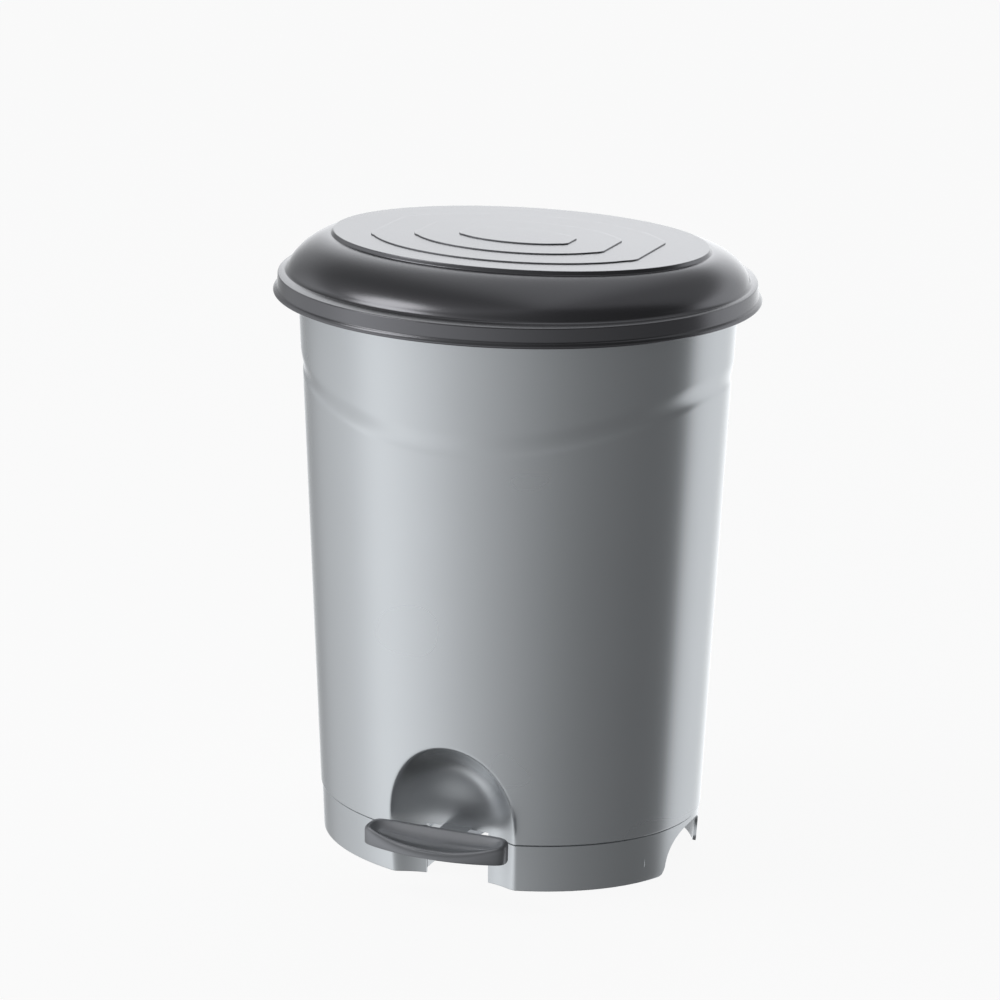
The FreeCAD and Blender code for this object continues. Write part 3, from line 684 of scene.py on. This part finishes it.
def mottle(material, surface, factor, dark, light):
    """Colour that wanders between two shades with the factor."""
    ramp = material.node_tree.nodes.new("ShaderNodeValToRGB")
    ramp.color_ramp.elements[0].position = 0.0
    ramp.color_ramp.elements[0].color = (*dark, 1)
    ramp.color_ramp.elements[1].position = 1.0
    ramp.color_ramp.elements[1].color = (*light, 1)
    material.node_tree.links.new(factor, ramp.inputs["Fac"])
    material.node_tree.links.new(ramp.outputs["Color"], surface.inputs["Base Color"])


def grain(material, surface, factor, strength, distance=0.0002):
    """A fine bump from the factor."""
    bump = material.node_tree.nodes.new("ShaderNodeBump")
    bump.inputs["Strength"].default_value = strength
    bump.inputs["Distance"].default_value = distance
    material.node_tree.links.new(factor, bump.inputs["Height"])
    material.node_tree.links.new(bump.outputs["Normal"], surface.inputs["Normal"])


def shade(colour, by):
    return tuple(channel * by for channel in colour)


def textured(name, colour, metallic, roughness, bump=0.05, fine=900.0, stretch=(1, 1, 1)):
    """Moulded or rolled material: slight mottling, uneven gloss and, unless bump is 0, a fine grain."""
    material, surface = shader(name, colour, metallic, roughness)
    broad = noise(material, 14.0, stretch=stretch)
    mottle(material, surface, broad, shade(colour, 0.98), shade(colour, 1.02))
    uneven = spread(material, noise(material, 9.0, 1.0, stretch), roughness - 0.01, roughness + 0.01)
    material.node_tree.links.new(uneven, surface.inputs["Roughness"])
    if bump:
        grain(material, surface, noise(material, fine, 2.0, stretch), bump)
    return material


# ---------------------------------------------------------------- light, floor and camera

# Brightness of the surroundings by compass direction, as (degrees, level): 0 lies in front of the pedal
# and 90 along +X. The levels were fitted to the light and dark sides of the body in the photo.
LIGHT_RING = [(-180, 1.5), (-165, 2.1), (-150, 1.8), (-138, 0.6), (-125, 0.38), (-110, 0.66), (-77, 0.88),
              (-60, 1.3), (-45, 1.15), (-25, 0.88), (-15, 0.72), (0, 0.56), (15, 0.42), (27, 0.33),
              (42, 0.245), (60, 0.20), (80, 0.165), (111, 0.16), (120, 1.0), (140, 1.1), (165, 1.0),
              (180, 1.5)]
OVERHEAD_FADE = (0.38, 0.60, 0.28)      # direction's z where the fade starts and ends, and what is left
UNDERFOOT_FADE = (-0.70, -0.95, 0.05)


def calculated(tree, operation, *values):
    """A math node on numbers and sockets."""
    node = tree.nodes.new("ShaderNodeMath")
    node.operation = operation
    for socket, value in zip(node.inputs, values):
        if isinstance(value, (int, float)):
            socket.default_value = value
        else:
            tree.links.new(value, socket)
    return node.outputs["Value"]


def faded(tree, z, start, end, rest):
    """A factor that eases from 1 to what is left as z goes from start to end."""
    node = tree.nodes.new("ShaderNodeMapRange")
    node.interpolation_type = "SMOOTHSTEP"
    node.inputs["From Min"].default_value = start
    node.inputs["From Max"].default_value = end
    node.inputs["To Min"].default_value = 1.0
    node.inputs["To Max"].default_value = rest
    tree.links.new(z, node.inputs["Value"])
    return node.outputs["Result"]


def ring_brightness(tree, x, y):
    """The level of LIGHT_RING in a direction."""
    azimuth = calculated(tree, "ARCTAN2", x, calculated(tree, "MULTIPLY", y, -1.0))
    share = calculated(tree, "ADD", calculated(tree, "DIVIDE", azimuth, 2 * pi), 0.5)
    top = max(level for _, level in LIGHT_RING)
    ring = tree.nodes.new("ShaderNodeFloatCurve")
    ring.mapping.clip_max_y = 4.0
    ring.mapping.extend = "HORIZONTAL"
    curve = ring.mapping.curves[0]
    for index, (degrees, level) in enumerate(LIGHT_RING):
        at = (degrees / 360 + 0.5, level / top)
        point = curve.points[index] if index < 2 else curve.points.new(*at)
        point.location = at
        point.handle_type = "VECTOR"
    ring.mapping.update()
    tree.links.new(share, ring.inputs["Value"])
    return calculated(tree, "MULTIPLY", ring.outputs["Value"], top)


def background(tree, colour):
    node = tree.nodes.new("ShaderNodeBackground")
    node.inputs["Color"].default_value = (*colour, 1)
    return node


def world_light():
    """Surroundings lit by LIGHT_RING, dim overhead and underfoot, with a white backdrop for the camera."""
    world = bpy.data.worlds.new("studio")
    bpy.context.scene.world = world
    world.use_nodes = True
    tree = world.node_tree
    tree.nodes.clear()
    place = tree.nodes.new("ShaderNodeTexCoord")
    split = tree.nodes.new("ShaderNodeSeparateXYZ")
    tree.links.new(place.outputs["Generated"], split.inputs["Vector"])
    x, y, z = split.outputs
    around = ring_brightness(tree, x, y)
    upper = calculated(tree, "MULTIPLY", around, faded(tree, z, *OVERHEAD_FADE))
    strength = calculated(tree, "MULTIPLY", upper, faded(tree, z, *UNDERFOOT_FADE))

    studio = background(tree, (0.97, 0.985, 1.0))
    backdrop = background(tree, (0.955, 0.955, 0.955))
    seen = tree.nodes.new("ShaderNodeLightPath")
    mix = tree.nodes.new("ShaderNodeMixShader")
    output = tree.nodes.new("ShaderNodeOutputWorld")
    tree.links.new(strength, studio.inputs["Strength"])
    tree.links.new(seen.outputs["Is Camera Ray"], mix.inputs["Fac"])
    tree.links.new(studio.outputs["Background"], mix.inputs[1])
    tree.links.new(backdrop.outputs["Background"], mix.inputs[2])
    tree.links.new(mix.outputs["Shader"], output.inputs["Surface"])


FLOOR_RADIUS = 15.0                     # metres


def floor():
    """A pale floor that glows like the backdrop and neither lights the object nor shows in it."""
    ring = [(x, y, 0.0) for x, y in circle(FLOOR_RADIUS, (0.0, 0.0), 96)]
    mesh = bpy.data.meshes.new("floor")
    mesh.from_pydata(ring, [], [list(range(len(ring)))])
    ground = bpy.data.objects.new("floor", mesh)
    bpy.context.scene.collection.objects.link(ground)
    material, surface = shader("floor_paper", (0.08, 0.08, 0.08), 0.0, 0.9)
    surface.inputs["Specular IOR Level"].default_value = 0.0
    surface.inputs["Emission Color"].default_value = (1, 1, 1, 1)
    surface.inputs["Emission Strength"].default_value = 0.92
    mesh.materials.append(material)
    ground.visible_glossy = False
    ground.visible_diffuse = False


def area_light(name, place, aim, size, power):
    data = bpy.data.lights.new(name, "AREA")
    data.shape = "DISK"
    data.size = size
    data.energy = power
    lamp = bpy.data.objects.new(name, data)
    lamp.location = place
    lamp.rotation_euler = (Vector(aim) - Vector(place)).to_track_quat("-Z", "Y").to_euler()
    bpy.context.scene.collection.objects.link(lamp)


# The camera's place and aim, fitted to the photo's rim, seam and foot. Lengths are in metres.
CAMERA_AROUND = radians(21.764)
CAMERA_DISTANCE = 3.0576
CAMERA_HEIGHT = 1.1986
CAMERA_TURN = radians(0.219)            # how far the aim lies to one side of the bin's axis
CAMERA_PITCH = radians(16.396)
CAMERA_ROLL = radians(0.7883)
CAMERA_LENS = 136.02                    # millimetres


def camera():
    """A long lens at the front right, above the bin, tipped down 16 degrees."""
    heading = CAMERA_AROUND + CAMERA_TURN
    pitch, roll = CAMERA_PITCH, CAMERA_ROLL
    ahead = Vector((-sin(heading), cos(heading), 0.0))
    right = Vector((cos(heading), sin(heading), 0.0))
    up = Vector((0, 0, 1))
    view = ahead * cos(pitch) - up * sin(pitch)
    above = up * cos(pitch) + ahead * sin(pitch)
    across = right * cos(roll) + above * sin(roll)
    above = above * cos(roll) - right * sin(roll)
    data = bpy.data.cameras.new("camera")
    data.lens = CAMERA_LENS
    data.sensor_width = 36.0
    data.clip_end = 50.0
    eye = bpy.data.objects.new("camera", data)
    turn = Matrix((across, above, -view)).transposed().to_4x4()
    place = (CAMERA_DISTANCE * sin(CAMERA_AROUND), -CAMERA_DISTANCE * cos(CAMERA_AROUND), CAMERA_HEIGHT)
    eye.matrix_world = Matrix.Translation(place) @ turn
    bpy.context.scene.collection.objects.link(eye)
    bpy.context.scene.camera = eye


# ---------------------------------------------------------------- the object

def dress(nodes, material):
    """Gives carried-over CAD nodes their material and smooth shading."""
    for name in nodes:
        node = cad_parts[name]
        node.data.materials.clear()
        node.data.materials.append(material)
        node.data.shade_smooth()
        node.data.set_sharp_from_angle(angle=radians(30))


def build():
    silver = textured("silver_plastic", (0.590, 0.612, 0.630), 0.78, 0.27, 0.0)
    base_plastic = textured("base_plastic", (0.590, 0.612, 0.630), 0.78, 0.28, 0.0)
    dark = textured("lid_plastic", (0.165, 0.165, 0.175), 0.80, 0.24, 0.0)
    tread = textured("pedal_plastic", (0.25, 0.255, 0.27), 0.6, 0.40, 0.01, 300.0)
    pail = textured("bucket_plastic", (0.055, 0.056, 0.060), 0.0, 0.45, 0.10)
    grip = textured("grip_plastic", (0.03, 0.03, 0.032), 0.0, 0.5, 0.15)
    fitting = textured("fitting_plastic", (0.70, 0.69, 0.66), 0.0, 0.45, 0.08)
    rubber = textured("buffer_rubber", (0.02, 0.02, 0.02), 0.0, 0.75, 0.2)
    bright = textured("rod_steel", (0.62, 0.62, 0.63), 1.0, 0.28, 0.05, stretch=(6, 6, 0.4))
    screws = textured("screw_steel", (0.55, 0.54, 0.50), 1.0, 0.34, 0.06)
    plate = textured("lever_steel", (0.50, 0.51, 0.53), 1.0, 0.38, 0.08, stretch=(5, 0.5, 5))
    bracket = textured("bracket_steel", (0.42, 0.43, 0.45), 1.0, 0.42, 0.10, stretch=(5, 5, 0.5))

    make_base(base_plastic)
    make_body(silver)
    make_lid(dark)
    make_pad(tread)
    make_bucket(pail)
    make_bail(bright, grip)

    dress(["bail_lugs"], pail)
    dress(["rod_guides", "lever_bushes"], fitting)
    dress(["lid_buffers"], rubber)
    dress(["pedal_axle", "push_rod", "hinge_pin", "rod_lower_pin", "rod_upper_pin"], bright)
    dress(["axle_clips", "base_screws", "bracket_screws", "pad_screws", "arm_screws"], screws)
    dress(["pedal_lever"], plate)
    dress(["hinge_bracket", "lid_arm"], bracket)


build()
floor()
world_light()
area_light("overhead", (-1.5, -0.6, 2.3), (0, 0, 0.4), 1.1, 10.0)
camera()
bpy.context.scene.view_settings.view_transform = "Standard"
